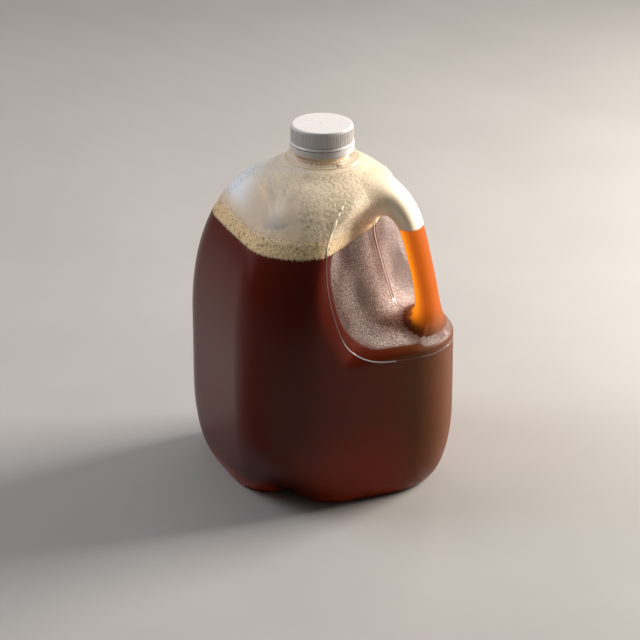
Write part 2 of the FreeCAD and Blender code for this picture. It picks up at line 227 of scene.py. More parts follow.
# The scoop: depths are measured in from the corner, rises up from the shoulder's start.
RECESS_DEPTH, RECESS_DEPTH_RISE, RECESS_LEAN = 44.0, 34.5, 0.31
LEDGE_DEPTH, LEDGE_RISE, LEDGE_SLOPE = 33.5, 20.0, 2.7
LEDGE_BLEND, TOP_BLEND, RECESS_BLEND = 14.0, 6.0, 8.5
RECESS_TOP_X = COLLAR_RADIUS + 10.5
SCOOP_LOW = SHOULDER_Z - 16.0
SCOOP_HALF_ANGLE = math.radians(87)
SCOOP_DROP = 0.00445        # the scoop is lower by this much for each mm squared off the parting plane
EDGE_LEAN_LOW, EDGE_LEAN_HIGH = -0.08, 0.12
SWELL, SWELL_HALF_WIDTH, SWELL_HALF_HEIGHT, SWELL_Z = 14.0, 24.0, 15.0, CROWN_Z - 15.0
FAR = 3 * HALF_FLATS        # farther out than any point of the jug


def soft_min(a, b, blend):
    """The smaller of two arrays, rounded off where they are less than blend apart."""
    near = np.maximum(blend - np.abs(a - b), 0) / blend
    return np.minimum(a, b) - near ** 2 * blend / 4


def soft_max(a, b, blend):
    """The larger of two arrays, rounded off in the same way."""
    return -soft_min(-a, -b, blend)


def step(low, high, values):
    """0 below low, 1 above high, and a smooth S between them."""
    t = np.clip((values - low) / (high - low), 0, 1)
    return t * t * (3 - 2 * t)


def rounded_square(angle, flats, corner):
    """Distance to a square with round corners: flats over the cosine on a side, else out to its arc."""
    off = np.abs(np.mod(angle, np.pi / 2) - np.pi / 4)
    inner = flats - corner
    across = np.sin(off) - np.cos(off)
    along = np.sin(off) + np.cos(off)
    arc = inner * along + np.sqrt(np.maximum(corner ** 2 - (inner * across) ** 2, 0))
    return np.where(np.tan(off) <= inner / flats, flats / np.cos(off), arc)


def foot_dip(angle):
    """Share by which the foot pulls in, a bell curve about +Y and about -Y."""
    off = np.abs(np.pi / 2 - np.abs(np.mod(angle + np.pi, 2 * np.pi) - np.pi))
    return FOOT_DIP * np.exp(-off ** 2 / (2 * FOOT_DIP_ANGLE ** 2))


def scoop_profile(z):
    """x of the scoop in the parting plane: the larger of a leaning wall, a ledge and a straight top."""
    up = z - SHOULDER_Z
    wall = CORNER_REACH - RECESS_DEPTH - RECESS_LEAN * (up - RECESS_DEPTH_RISE)
    ledge = CORNER_REACH - LEDGE_DEPTH - LEDGE_SLOPE * (up - LEDGE_RISE)
    return soft_max(soft_max(wall, ledge, LEDGE_BLEND), RECESS_TOP_X, TOP_BLEND)


def scoop_wall(y, z):
    """x of the scoop at any y: the profile, lower towards its edges, plus a bell of swelling at the root.

    The wall falls back a little towards its edges below, and comes forward towards them at the top.
    """
    swell = SWELL * np.exp(-(y / SWELL_HALF_WIDTH) ** 2 - ((z - SWELL_Z) / SWELL_HALF_HEIGHT) ** 2)
    edge_lean = EDGE_LEAN_LOW + (EDGE_LEAN_HIGH - EDGE_LEAN_LOW) * step(196, 212, z)
    return scoop_profile(z + SCOOP_DROP * y * y) + edge_lean * np.abs(y) + swell


def scoop_distance(angle, z):
    """Distance from the axis to the scoop along each angle, by halving the interval forty times."""
    near = np.zeros(np.broadcast(angle, z).shape)
    far = np.full(near.shape, FAR)
    for _ in range(40):
        middle = (near + far) / 2
        beyond = middle * np.cos(angle) > scoop_wall(middle * np.sin(angle), z)
        far = np.where(beyond, middle, far)
        near = np.where(beyond, near, middle)
    in_reach = (np.cos(angle) > math.cos(SCOOP_HALF_ANGLE)) & (z > SCOOP_LOW)
    return np.where(in_reach, near, FAR)


def collar_lift(rho):
    """The shoulder turns up beside the neck by a bell curve of the distance from the collar."""
    return COLLAR_LIFT * np.exp(-((rho - COLLAR_RADIUS) / COLLAR_SPREAD) ** 2)


def heel_and_shoulder(angle, z):
    """The unscooped body: a quarter ellipse below, an upright wall, and a power curve above."""
    turn = np.arccos(np.clip(1 - z / HEEL_HEIGHT, 0, 1))
    swing = np.sin(turn)
    flats = FOOT_FLATS + (HALF_FLATS - FOOT_FLATS) * swing
    corner = FOOT_RADIUS + (CORNER_RADIUS - FOOT_RADIUS) * swing
    wall = rounded_square(angle, flats, corner) * (1 - foot_dip(angle) * (1 - swing ** 3))
    share = np.clip((z - SHOULDER_Z) / SHOULDER_RISE, 0, 1)
    lean = np.maximum(1 - share ** RISE_POWER, 0) ** (1 / PULL_POWER)
    return COLLAR_RADIUS + (wall - COLLAR_RADIUS) * lean


def body_reach(angle, z):
    """Distance from the axis to the body's skin, scoop and all."""
    return soft_min(heel_and_shoulder(angle, z), scoop_distance(angle, z), RECESS_BLEND)


def scoop_depth(angle, z):
    """How deep in the scoop a place of the skin is, in mm; below zero it is outside."""
    return heel_and_shoulder(angle, z) - scoop_distance(angle, z)


def body_points(angle, z):
    """Points of the skin at each height and angle; the collar's lift is added to the height."""
    rho = body_reach(angle, z)
    z = z + collar_lift(heel_and_shoulder(angle, z))
    x, y = rho * np.cos(angle), rho * np.sin(angle)
    z = np.where(z < GROOVE_TOP, over_groove(x, y, z), z)
    return np.stack([x, y, z], -1)


def over_groove(x, y, z):
    """Heights lifted over the groove along Y: a bell curve across it that climbs near the foot's ends."""
    ridge = GROOVE_HEIGHT + GROOVE_CLIMB * np.maximum(np.abs(y) - GROOVE_START, 0)
    return soft_max(z, ridge * (2 * np.exp(-(x / GROOVE_HALF_WIDTH) ** 2) - 1), GROOVE_BLEND)


def foot_points(angle, share):
    """The underside: the foot's outline shrunk by a share, with a cosine push-up and the groove."""
    rho = rounded_square(angle, FOOT_FLATS, FOOT_RADIUS) * (1 - foot_dip(angle)) * share
    inside = np.clip(rho / PUSH_UP_RADIUS, 0, 1)
    z = PUSH_UP_HEIGHT * (0.5 + 0.5 * np.cos(np.pi * inside))
    x, y = rho * np.cos(angle), rho * np.sin(angle)
    return np.stack([x, y, over_groove(x, y, z)], -1)


print("body reach at the corner, mm", float(np.round(body_reach(np.array(0.0), np.array(80.0)), 2)))
print("scoop in the parting plane, x at z 130, 160, 190:",
      np.round(scoop_wall(np.array(0.0), np.array([130.0, 160.0, 190.0])), 1).tolist())

# %% [markdown]
# The rings of the body are not evenly spread. They crowd where the skin turns quickly, in the heel, on the
# ledge of the scoop and next to the neck, so that the mesh is smooth there and light elsewhere. The
# underside has rings too, with the shallow hollow and the groove that keep such a jug from rocking.

# %% Rings of the body
BODY_SIDES = 288
SHELF_RISE = 28.0          # rings lie close from the shoulder's start up to here, over the ledge
angles = np.linspace(0, 2 * np.pi, BODY_SIDES, endpoint=False)


def heights(heel, wall, ledge, shoulder, top_share=0.9995):
    """Heights of the rings over the foot, from the heel's first to the collar."""
    turn = np.linspace(0, np.pi / 2, heel + 1)[1:]
    low = HEEL_HEIGHT * (1 - np.cos(turn))
    middle = np.linspace(HEEL_HEIGHT, SHOULDER_Z, wall + 1)[1:]
    shelf = np.linspace(SHOULDER_Z, SHOULDER_Z + SHELF_RISE, ledge + 1)[1:]
    first = math.asin((SHELF_RISE / SHOULDER_RISE) ** (RISE_POWER / 2))
    turn = np.linspace(first, np.pi / 2, shoulder + 1)[1:]
    high = SHOULDER_Z + SHOULDER_RISE * np.sin(turn) ** (2 / RISE_POWER)
    high = np.minimum(high, SHOULDER_Z + SHOULDER_RISE * top_share)
    return np.concatenate([low, middle, shelf, high])


def body_grid(foot_shares, levels):
    """Rings of the underside, then rings of the wall, as one array (rings, sides, 3)."""
    foot = foot_points(angles[None, :], foot_shares[:, None])
    upper = body_points(angles[None, :], levels[:, None])
    return np.concatenate([foot, upper])


def grid_normals(points):
    """Outward unit normals: the cross product of the way round and the way up."""
    way_round = np.roll(points, -1, 1) - np.roll(points, 1, 1)
    way_up = np.gradient(points, axis=0)
    normal = np.cross(way_round, way_up)
    return normal / np.maximum(np.linalg.norm(normal, axis=-1, keepdims=True), 1e-9)


def inset(points, depth):
    """The same grid moved inwards, square to itself."""
    return points - grid_normals(points) * depth


FOOT_SHARES = np.concatenate([np.linspace(0.04, 0.9, 20), np.linspace(0.93, 1.0, 4)])
LEVELS = heights(heel=26, wall=9, ledge=32, shoulder=84)
outer_body = body_grid(FOOT_SHARES, LEVELS)
print("outer body grid", outer_body.shape, "top ring z", np.round(outer_body[-1, 0], 2).tolist())

# %% [markdown]
# The neck is formed round a pin while the body is blown, so it is exactly round. It could be a lathed
# curve; here its outline is a short list of corners, each eased by a small arc, and a turn about the axis
# makes it the last rings of the body. The jug is made as two closed shapes, its outside and its hollow,
# and the hollow is taken out at the end, because a real wall with a rim shows at the neck.

# %% Neck, outside and hollow
WALL = 1.0
NECK_TOP, BORE_RADIUS = 251.9, 18.2
NECK_CORNERS = [           # radius, height and how much the corner is eased
    (25.6, 229.6, 0.0), (25.6, 230.4, 0.5), (23.7, 230.4, 0.5), (23.7, 234.0, 0.8), (19.8, 234.0, 0.4),
    (19.8, NECK_TOP, 0.4),
]
ARC_STEPS = 4


def eased_outline(corners):
    """Corners (r, z, ease) as a dense outline: a quadratic curve rounds each corner by its ease."""
    place = np.array([corner[:2] for corner in corners])
    ease = np.array([corner[2] for corner in corners])
    back = place[:-2] - place[1:-1]
    forth = place[2:] - place[1:-1]
    back /= np.linalg.norm(back, axis=1, keepdims=True)
    forth /= np.linalg.norm(forth, axis=1, keepdims=True)
    t = np.linspace(0, 1, ARC_STEPS + 1)[None, :, None]
    start = (place[1:-1] + back * ease[1:-1, None])[:, None]
    end = (place[1:-1] + forth * ease[1:-1, None])[:, None]
    middle = place[1:-1][:, None]
    arcs = (1 - t) ** 2 * start + 2 * t * (1 - t) * middle + t ** 2 * end
    return np.vstack([place[:1], arcs.reshape(-1, 2), place[-1:]])


def turned(outline):
    """Rings from (r, z) points: r times cosine and sine of the angle."""
    r, z = outline[:, :1], outline[:, 1:]
    return np.stack([r * np.cos(angles), r * np.sin(angles), z + 0 * angles], -1)


def closed_skin(name, points):
    """A closed mesh object from a grid of rings."""
    flat, faces = poled_grid(points)
    return link_mesh(name, flat, faces)


def body_outside():
    """Body and neck as one skin, closed flat over the rim."""
    over_rim = turned(eased_outline(NECK_CORNERS + [(BORE_RADIUS, NECK_TOP, 0.0)]))
    return closed_skin("jug_skin", np.concatenate([outer_body, over_rim]))


def body_inside():
    """The hollow of the body one wall in, with the bore carried on past the rim."""
    shares = np.linspace(0.08, 1.0, 8)
    coarse = body_grid(shares, heights(heel=10, wall=3, ledge=10, shoulder=26))
    bore = turned(np.array([(22.5, 228.2), (BORE_RADIUS, 228.3), (BORE_RADIUS, NECK_TOP + 2)]))
    return closed_skin("hollow", np.concatenate([inset(coarse, WALL), bore]))


jug_skin = body_outside()
hollow = body_inside()
print("skin and hollow faces", len(jug_skin.data.polygons), len(hollow.data.polygons))

# %% [markdown]
# The handle is a pinched part of the same bubble, hollow and full of tea. It is a tube with a boxy oval
# section, carried along a smooth line near its stations. A fillet where it meets the body could be a bevel
# on the seam, but a bevel fails on such a curved joint. Instead, where the tube comes within a few
# millimetres of the body, its skin is pushed out along a quarter circle, so that it flows into the body.

# %% Handle
HANDLE_STATIONS = np.array([   # x, z, half thickness and half width of the section
    (31.0, 206.5, 13.6, 19.5), (39.5, 207.5, 13.6, 17.4), (48.5, 207.0, 12.0, 14.6),
    (56.5, 203.0, 9.0, 12.2), (63.0, 195.0, 7.5, 11.5), (67.0, 184.0, 7.3, 11.2),
    (70.5, 170.5, 7.2, 10.9), (73.8, 157.0, 7.0, 10.9), (76.4, 145.5, 7.1, 10.9),
    (77.6, 133.5, 7.9, 11.3), (78.5, 122.5, 9.7, 13.2), (79.0, 112.0, 12.7, 16.2),
    (78.0, 102.0, 15.2, 18.2),
])
HANDLE_SQUARENESS = 2.4
HANDLE_SIDES = 96
HANDLE_RINGS = 150
ROOT_FILLET, LOWER_FILLET = 7.0, 15.0
ROOT_INSIDE = 0.4          # the roots stay this far inside the unscooped outline
ROOT_LEAN = 0.42           # and lean in by this much for each mm above ROOT_LEAN_Z
ROOT_LEAN_Z = 104.0
FLARE_ROUNDS = 12          # each round measures the gap again and goes half way


def spline(stations, count):
    """A uniform cubic B-spline through the stations' neighbourhood, with straight-on phantom ends."""
    held = np.vstack([2 * stations[0] - stations[1], stations, 2 * stations[-1] - stations[-2]])
    where = np.linspace(0, len(stations) - 1, count)
    base = np.minimum(where.astype(int), len(stations) - 2)
    t = (where - base)[:, None]
    weights = [(1 - t) ** 3, 3 * t ** 3 - 6 * t ** 2 + 4, -3 * t ** 3 + 3 * t ** 2 + 3 * t + 1, t ** 3]
    return sum(weight * held[base + k] for k, weight in enumerate(weights)) / 6


def tube_frame(depth):
    """The handle's skin a depth in, with its outward directions: boxy ovals square to the middle line."""
    line = spline(HANDLE_STATIONS, HANDLE_RINGS)
    along = np.gradient(line[:, :2], axis=0)
    along /= np.linalg.norm(along, axis=1, keepdims=True)
    around = np.linspace(0, 2 * np.pi, HANDLE_SIDES, endpoint=False)
    power = 2 / HANDLE_SQUARENESS
    across = np.sign(np.cos(around)) * np.abs(np.cos(around)) ** power
    sideways = np.sign(np.sin(around)) * np.abs(np.sin(around)) ** power
    thick = (line[:, 2:3] - depth) * across
    wide = (line[:, 3:4] - depth) * sideways
    x = line[:, :1] - along[:, 1:] * thick
    z = line[:, 1:2] + along[:, :1] * thick
    points = np.stack([x, wide, z], -1)
    out = np.cos(around)
    lean = np.stack([-along[:, 1:] * out, np.sin(around) + 0 * x, along[:, :1] * out], -1)
    return points, lean


def body_gap(points):
    """Distance from the body's skin, positive outside: reach difference over its own slope."""
    def reach_gap(p):
        rho = np.hypot(p[..., 0], p[..., 1])
        z = p[..., 2] - collar_lift(rho)
        return rho - body_reach(np.arctan2(p[..., 1], p[..., 0]), z)
    gap = reach_gap(points)
    nudge = 0.05
    slope = np.stack([reach_gap(points + nudge * axis) - gap for axis in np.eye(3)], -1) / nudge
    return gap / np.maximum(np.linalg.norm(slope, axis=-1), 0.3)


def flared(points, lean, depth):
    """The tube with its roots eased into the body: pushed out along a quarter circle of the gap.

    The lower root keeps inside the unscooped outline and leans in over the ledge; it is never thinner
    than the tube itself.
    """
    fillet = ROOT_FILLET + (LOWER_FILLET - ROOT_FILLET) * (1 - step(116.0, 160.0, points[..., 2]))
    own_reach = np.hypot(points[..., 0], points[..., 1])
    swollen = points
    for _ in range(FLARE_ROUNDS):
        near = np.clip(1 - (body_gap(swollen) + depth) / fillet, 0, 1)
        push = fillet * (1 - np.sqrt(1 - near ** 2))
        swollen = 0.5 * swollen + 0.5 * (points + lean * push[..., None])
        rho = np.hypot(swollen[..., 0], swollen[..., 1])
        outline = heel_and_shoulder(np.arctan2(swollen[..., 1], swollen[..., 0]), swollen[..., 2])
        height = swollen[..., 2]
        limit = outline - depth - ROOT_INSIDE - ROOT_LEAN * np.clip(height - ROOT_LEAN_Z, 0, 20)
        limit = np.maximum(limit, own_reach) + CORNER_REACH * step(140.0, 160.0, height)
        swollen[..., :2] *= np.minimum(1, limit / rho)[..., None]
    return swollen


def handle_skin(depth):
    """Rings from the lower root to the upper one, so that faces point outwards."""
    points, lean = tube_frame(depth)
    return flared(points, lean, depth)[::-1]


HOLLOW_SIDES_STEP, HOLLOW_RINGS_STEP = 2, 3
handle_outside = closed_skin("handle_outside", handle_skin(0.0))
handle_hollow = closed_skin("handle_hollow", handle_skin(WALL)[::HOLLOW_RINGS_STEP, ::HOLLOW_SIDES_STEP])
print("handle faces", len(handle_outside.data.polygons), len(handle_hollow.data.polygons))

# %% [markdown]
# A blown jug is a single skin. So the handle is joined to the body by a boolean union, the same is done
# for the two hollows, and the hollow is cut from the whole. Exact booleans keep it closed. The union
# leaves a sharp seam, so the points near it are relaxed: each moves a few times towards the mean of its
# neighbours.

# %% One skin
import bmesh


def points_of(piece):
    """All points of a mesh in mm, as one array."""
    place = np.empty(len(piece.data.vertices) * 3, np.float32)
    piece.data.vertices.foreach_get("co", place)
    return place.reshape(-1, 3).astype(float) / MM


def combine(base, tool, operation):
    """Joins or cuts two closed meshes, keeps the result in the first and drops the second."""
    change = base.modifiers.new("combine", "BOOLEAN")
    change.operation, change.solver, change.object = operation, "EXACT", tool
    graph = bpy.context.evaluated_depsgraph_get()
    result = bpy.data.meshes.new_from_object(base.evaluated_get(graph))
    base.modifiers.clear()
    base.data = result
    result.name = base.name
    bpy.data.objects.remove(tool)


def tidy_faces(piece):
    """Splits faces of many corners, which shade badly, and merges points that coincide."""
    mesh = bmesh.new()
    mesh.from_mesh(piece.data)
    bmesh.ops.remove_doubles(mesh, verts=mesh.verts, dist=0.0001 * MM)
    bmesh.ops.triangulate(mesh, faces=[face for face in mesh.faces if len(face.verts) > 4])
    mesh.to_mesh(piece.data)
    mesh.free()
    piece.data.shade_smooth()


combine(jug_skin, handle_outside, "UNION")
combine(hollow, handle_hollow, "UNION")
combine(jug_skin, hollow, "DIFFERENCE")
tidy_faces(jug_skin)


SEAM_GAP, SEAM_STEM = 4.5, 30.0    # a seam point lies this near the body, and this near the handle's line


def relax_seam(piece, rounds):
    """Smooths the skin where handle and body meet: near the handle's own line and near the body at once."""
    place = points_of(piece)
    gap = body_gap(place)
    line = spline(HANDLE_STATIONS, HANDLE_RINGS)
    stem = np.stack([line[:, 0], np.zeros(HANDLE_RINGS), line[:, 1]], -1)
    off_stem = np.min(np.linalg.norm(place[:, None] - stem[None, ::6], axis=2), axis=1)
    chosen = (np.abs(gap) < SEAM_GAP) & (off_stem < SEAM_STEM) & (place[:, 0] > RECESS_TOP_X - 8)
    mesh = bmesh.new()
    mesh.from_mesh(piece.data)
    mesh.verts.ensure_lookup_table()
    picked = [mesh.verts[k] for k in np.nonzero(chosen)[0]]
    for _ in range(rounds):
        bmesh.ops.smooth_vert(mesh, verts=picked, factor=0.5,
                              use_axis_x=True, use_axis_y=True, use_axis_z=True)
    mesh.to_mesh(piece.data)
    mesh.free()
    print("seam points relaxed", len(picked))


relax_seam(jug_skin, 6)
print("jug_skin faces", len(jug_skin.data.polygons))

# %% [markdown]
# A fine raised line frames the grip recess, where the mould's insert met the rest of it. Painted on, it
# would catch no light, and as displacement it would need a very fine skin. So it is a thin bead with a
# half-round section that lies on the skin along a smooth path, the same on both sides of the jug. Above
# the tea dried froth clings to it, and it is wider and lumpy there. How far a place lies inside this line
# also tells the plastic's finish where to be rough.

# %% The line round the recess
RECESS_LINE = np.array([   # angle from the handle in degrees, height in mm, from the top round to the front
    (-49, 214), (-54, 211.5), (-61, 202), (-65.5, 190), (-66, 176), (-65, 159), (-61.5, 140),
    (-57, 123), (-51, 114.5), (-44, 109.5), (-35, 107), (-20, 106.5), (0, 106.5),
])
RECESS_MIDDLE = 165.0      # height of the recess's middle, in the parting plane
DEGREE_LENGTH = 1.35       # mm of skin for a degree round the jug


def recess_path(count):
    """Angles in radians and heights along the whole line: one half, then its mirror image."""
    whole = np.vstack([RECESS_LINE, (RECESS_LINE * (-1, 1))[-2::-1]])
    path = spline(whole, count)
    return np.radians(path[:, 0]), path[:, 1]


def polar_in_recess(angle, z):
    """Direction and distance from the recess's middle, on the skin rolled out flat."""
    flat_x = np.degrees(np.arctan2(np.sin(angle), np.cos(angle))) * DEGREE_LENGTH
    return np.arctan2(flat_x, RECESS_MIDDLE - z), np.hypot(flat_x, z - RECESS_MIDDLE)


def inside_recess(angle, z):
    """How far inside the line a place is: the line's distance that way, less the place's own."""
    line_way, line_far = polar_in_recess(*recess_path(400))
    way, far = polar_in_recess(angle, z)
    order = np.argsort(line_way)
    return np.interp(way, line_way[order], line_far[order]) - far


def bead_on_path(points, outward, half_width, height, sink=0.25, sides=12, taper=12):
    """A half-round bead: sideways by the cosine and outwards by the sine, thinner at both ends."""
    along = np.gradient(points, axis=0)
    along /= np.linalg.norm(along, axis=1, keepdims=True)
    sideways = np.cross(outward, along)
    sideways /= np.linalg.norm(sideways, axis=1, keepdims=True)
    count = len(points)
    ends = np.minimum(np.arange(count), np.arange(count)[::-1]) / taper
    ease = np.sqrt(np.clip(ends, 0.02, 1))[:, None, None]
    turn = np.linspace(0, 2 * np.pi, sides, endpoint=False)[None, :, None]
    height, half_width = (np.broadcast_to(size, (count,))[:, None, None] for size in (height, half_width))
    rise = np.where(np.sin(turn) > 0, np.sqrt(np.abs(np.sin(turn))) * height, np.sin(turn) * sink)
    side = sideways[:, None] * np.cos(turn) * half_width
    return points[:, None] + ease * (side + outward[:, None] * rise)


def skin_normals(angle, z):
    """Outward normals of the skin by small steps round and up."""
    nudge = 1e-3
    round_way = body_points(angle + nudge, z) - body_points(angle - nudge, z)
    up_way = body_points(angle, z + 50 * nudge) - body_points(angle, z - 50 * nudge)
    normal = np.cross(round_way, up_way)
    return normal / np.linalg.norm(normal, axis=-1, keepdims=True)


def add_bead(name, angle, z, half_width, height):
    """A bead that lies on the body's skin along angles and heights."""
    points = body_points(angle, z)
    grid = bead_on_path(points, skin_normals(angle, z), half_width, height)
    flat, faces = poled_grid(grid)
    return link_mesh(name, flat, faces)


def skin_numbers(piece):
    """grip: mm inside the recess line; cut: depth of the scoop; arm: 0 on the body to 1 on the handle."""
    place = points_of(piece)
    angle = np.arctan2(place[:, 1], place[:, 0])
    arm = step(1.5, 7.0, body_gap(place))
    grip = inside_recess(angle, place[:, 2] - collar_lift(np.hypot(place[:, 0], place[:, 1])))
    grip = np.clip(np.where(arm > 0.05, -RECESS_OFF, grip), -RECESS_OFF, RECESS_OFF)
    cut = np.clip(scoop_depth(angle, place[:, 2]), -RECESS_OFF, RECESS_OFF)
    for name, values in {"grip": grip, "arm": arm, "cut": cut}.items():
        layer = piece.data.attributes.new(name, "FLOAT", "POINT")
        layer.data.foreach_set("value", values.astype(np.float32))


RECESS_OFF = 50.0          # grip and cut are held within this many mm
LINE_POINTS = 520
skin_numbers(jug_skin)
line_angle, line_z = recess_path(LINE_POINTS)
lumps = np.random.default_rng(8).uniform(-1, 1, LINE_POINTS)
lumps = np.convolve(lumps, np.hanning(9) / 2.0, "same")
frothy_part = step(182, 192, line_z)
line_width = 0.44 + frothy_part * (0.45 + 0.35 * lumps)
line_height = 0.34 * step(math.radians(22), math.radians(46), np.abs(line_angle)) - 0.1
line_height = line_height + frothy_part * (0.2 + 0.35 * lumps)
recess_bead = add_bead("recess_line", line_angle, line_z, line_width, line_height)
print("recess line length, mm", round(float(np.linalg.norm(
    np.diff(body_points(line_angle, line_z), axis=0), axis=1).sum())))

# %% [markdown]
# The two halves of the mould meet in the plane of the handle and leave a fine line there. It runs up the
# back corner. In the recess the mould pinches the plastic, and two low ribs stand beside the plane. They
# are made as the line round the recess is.

# %% Parting lines
WALL_LINE_Z = (121.0, 192.0)
WALL_LINE_ASIDE = 1.9
BACK_LINE_Z = (16.0, 221.0)


def add_parting(name, angle, low, high, half_width, height, aside=0.0):
    """A bead up the skin in the parting plane, or a little aside from it."""
    z = np.linspace(low, high, 160)
    return add_bead(name, angle + aside / body_reach(np.array(angle), z), z, half_width, height)


parting_lines = [
    add_parting("parting_recess_front", 0.0, *WALL_LINE_Z, 0.45, 0.45, -WALL_LINE_ASIDE),
    add_parting("parting_recess_back", 0.0, *WALL_LINE_Z, 0.45, 0.45, WALL_LINE_ASIDE),
    add_parting("parting_back", math.pi, *BACK_LINE_Z, 0.3, 0.15),
]
print("parting lines", [line.name for line in parting_lines])

# %% [markdown]
# Tea fills the jug to its level. It could be one mesh cut from the hollow, but then it would share faces
# with the plastic. Its skin lies half way into the plastic's own thickness instead, so no gap of air shows
# between the two. The handle is filled too, by a piece of its own that is cut off level, because light
# shines through this thin part and makes it orange.

# %% Tea
FILL_DEPTH = WALL / 2
TEA_LEVEL = 185.0
HANDLE_LEVEL = 189.0       # no froth weighs on the tea in the handle, so it stands higher there
tea_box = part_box("tea")
print("tea level in the solid, mm", round(tea_box[1].z / MM, 2))


def add_tea_body():
    """The body's grid moved in, up to the level, and closed by rings that shrink to the middle."""
    levels = np.concatenate([LEVELS[LEVELS < TEA_LEVEL - 0.4], [TEA_LEVEL]])
    side = inset(body_grid(FOOT_SHARES, levels), FILL_DEPTH)
    rim = side[-1].copy()
    rim[:, 2] = TEA_LEVEL
    side[-1] = rim
    shares = np.array([0.995, 0.97, 0.8, 0.5, 0.2])[:, None, None]
    middle = rim.mean(0)
    top = middle + (rim - middle)[None] * shares
    points = np.concatenate([side, top])
    flat, faces = poled_grid(points)
    return link_mesh("tea_body", flat, faces, handle=np.zeros(len(flat)), inner=np.zeros(len(flat)))


def cut_level(piece, height):
    """Cuts a closed mesh off at a height and closes the cut."""
    mesh = bmesh.new()
    mesh.from_mesh(piece.data)
    everything = mesh.verts[:] + mesh.edges[:] + mesh.faces[:]
    bmesh.ops.bisect_plane(mesh, geom=everything, clear_outer=True,
                           plane_co=(0, 0, height), plane_no=(0, 0, 1))
    rim = [edge for edge in mesh.edges if edge.is_boundary]
    bmesh.ops.holes_fill(mesh, edges=rim)
    bmesh.ops.triangulate(mesh, faces=[face for face in mesh.faces if len(face.verts) > 4])
    mesh.to_mesh(piece.data)
    mesh.free()


def add_tea_handle():
    """The handle's skin moved in, with two numbers on its points.

    handle is 1 on the tube and fades where the root flares; inner runs from -1 on the outer side to 1 on
    the side that faces the fingers.
    """
    skin = handle_skin(FILL_DEPTH)
    flat, faces = poled_grid(skin)
    around = np.linspace(0, 2 * np.pi, HANDLE_SIDES, endpoint=False)
    inner = np.tile(-np.cos(around), (len(skin), 1))
    push = np.linalg.norm(skin - tube_frame(FILL_DEPTH)[0][::-1], axis=-1)
    handle = with_poles(1 - step(0.5, 6.0, push))
    piece = link_mesh("tea_handle", flat, faces, handle=handle, inner=with_poles(inner))
    cut_level(piece, HANDLE_LEVEL * MM)
    return piece


tea_body = add_tea_body()
tea_handle = add_tea_handle()
print("tea faces", len(tea_body.data.polygons), len(tea_handle.data.polygons))

# %% [markdown]
# The foam is a ragged ring of froth that clings to the wall, with a gap in it where the tea shows. It
# could be thousands of small spheres, but most of them would be hidden. So it is one loop of points round
# the gap's middle: out along the top to the wall, down the wall, and back underneath. The top rides on the
# caps of seeded bubbles, and sums of sines make its edges wavy. The seeds are fixed, so each run gives the
# same foam.

# %% Foam
FOAM_DEPTH = 9.0
BUBBLE_SIZE = 1.2          # radius of the largest bubbles
FOAM_INSET = 0.42          # how far the foam's side lies in from the skin, inside the plastic
GAP_MIDDLE = np.array([-19.5, 58.5 - CORNER_REACH])
GAP_HALF = (9.0, 14.0)
GAP_TURN = math.radians(20)
FOAM_WAYS, FOAM_TOP_RINGS, FOAM_SIDE_RINGS = 640, 45, 14


def waves(angle, seed, count, low, high):
    """A wavy line round the jug: a sum of sines with seeded wave numbers and phases."""
    draw = np.random.default_rng(seed)
    total = np.zeros(angle.shape)
    for k in draw.integers(low, high, count):
        total += np.sin(k * angle + draw.uniform(0, 2 * np.pi)) / math.sqrt(count)
    return total


def wall_distance(way, z, depth):
    """From the gap's middle out to the body's wall at a height, by halving."""
    near = np.zeros(np.broadcast(way, z).shape)
    far = np.full(near.shape, 2.2 * HALF_FLATS)
    for _ in range(30):
        middle = (near + far) / 2
        x = GAP_MIDDLE[0] + middle * np.cos(way)
        y = GAP_MIDDLE[1] + middle * np.sin(way)
        beyond = np.hypot(x, y) > body_reach(np.arctan2(y, x), z) - depth
        far = np.where(beyond, middle, far)
        near = np.where(beyond, near, middle)
    return near


def gap_distance(way):
    """The gap's ragged edge: an ellipse with waves."""
    turned_way = way - GAP_TURN
    ellipse = 1 / np.sqrt((np.cos(turned_way) / GAP_HALF[0]) ** 2 + (np.sin(turned_way) / GAP_HALF[1]) ** 2)
    return ellipse * (1 + 0.06 * waves(way, 3, 8, 3, 17))


def froth(x, y, seed, size):
    """Bubble tops: each point rides on the cap of the nearest of many seeded bubbles."""
    draw = np.random.default_rng(seed)
    count = int(2.2 * (2 * CORNER_REACH / size) ** 2)
    centre = draw.uniform(-CORNER_REACH, CORNER_REACH, (count, 2))
    radius = draw.uniform(0.5, 1.0, count) * size
    tree = KDTree(count)
    for k, (centre_x, centre_y) in enumerate(centre):
        tree.insert((centre_x, centre_y, 0), k)
    tree.balance()
    found = np.array([tree.find((px, py, 0))[1:] for px, py in zip(x.ravel(), y.ravel())])
    reach = radius[found[:, 0].astype(int)]
    return np.sqrt(np.maximum(reach ** 2 - found[:, 1] ** 2, 0)).reshape(x.shape)


